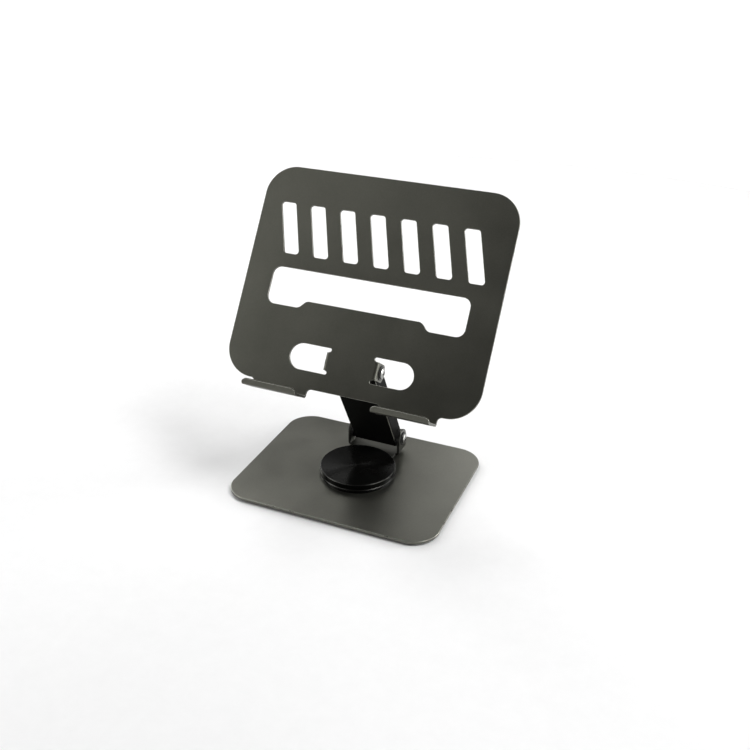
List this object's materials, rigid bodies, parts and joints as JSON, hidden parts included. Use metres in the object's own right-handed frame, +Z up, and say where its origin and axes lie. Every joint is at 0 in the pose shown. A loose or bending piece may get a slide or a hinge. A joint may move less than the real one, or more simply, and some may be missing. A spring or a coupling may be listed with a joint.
{
  "type": "tablet stand",
  "caption": "Desk stand for a tablet: flat base, swivelling disc, folding arm on friction hinges, and a slotted sheet panel with two hooked lips.",
  "frame": {"origin": "on the desk under the centre of the base", "axes": "+X to the right of a user facing the stand, -Y towards the user, +Z up"},
  "size_m": [0.237, 0.161, 0.2655],
  "materials": {
    "base_coat": "satin warm grey powder coat",
    "panel_coat": "satin warm dark grey powder coat",
    "arm_coat": "satin black coat",
    "bracket_coat": "satin black coat",
    "black_anodised": "black, turned with fine concentric rings",
    "bright_steel": "bright zinc plate",
    "plain_steel": "plain zinc plate",
    "black_washer": "black nylon",
    "nylon": "natural nylon",
    "foot_rubber": "matt black"
  },
  "bodies": {
    "base": {"base_plate": "base_coat", "disc_spring": "plain_steel", "foot_front_left": "foot_rubber", "foot_front_right": "foot_rubber", "foot_rear_left": "foot_rubber", "foot_rear_right": "foot_rubber", "pivot_rivet": "plain_steel", "seat_disc": "black_anodised", "seat_screws": "plain_steel", "sliding_washer": "nylon", "thrust_washer": "nylon"},
    "swivel": {"hinge_bracket": "bracket_coat", "cap_disc": "black_anodised", "cap_screws": "plain_steel", "lower_friction_washer_left": "nylon", "lower_friction_washer_right": "nylon", "lower_lock_nut_left": "plain_steel", "lower_lock_nut_right": "plain_steel", "lower_outer_washer_left": "black_washer", "lower_outer_washer_right": "black_washer", "lower_screw_left": "bright_steel", "lower_screw_right": "bright_steel", "lower_spacer_left": "plain_steel", "lower_spacer_right": "plain_steel", "lower_spring_washer_left": "plain_steel", "lower_spring_washer_right": "plain_steel"},
    "arm": {"arm_channel": "arm_coat"},
    "panel": {"tablet_panel": "panel_coat", "upper_friction_washer_left": "nylon", "upper_friction_washer_right": "nylon", "upper_lock_nut_left": "plain_steel", "upper_lock_nut_right": "plain_steel", "upper_outer_washer_left": "black_washer", "upper_outer_washer_right": "black_washer", "upper_screw_left": "bright_steel", "upper_screw_right": "bright_steel", "upper_spring_washer_left": "plain_steel", "upper_spring_washer_right": "plain_steel"}
  },
  "joints": [
    {"name": "base_swivel", "type": "hinge", "parent": "base", "child": "swivel", "pos_m": [0, 0, 0.01], "axis": [0, 0, 1], "continuous": true},
    {"name": "arm_tilt", "type": "hinge", "parent": "swivel", "child": "arm", "pos_m": [0, 0.0471, 0.0223], "axis": [1, 0, 0], "range_deg": [-30, 37]},
    {"name": "panel_tilt", "type": "hinge", "parent": "arm", "child": "panel", "pos_m": [0, -0.01012, 0.11905], "axis": [1, 0, 0], "range_deg": [-70, 55]}
  ]
}
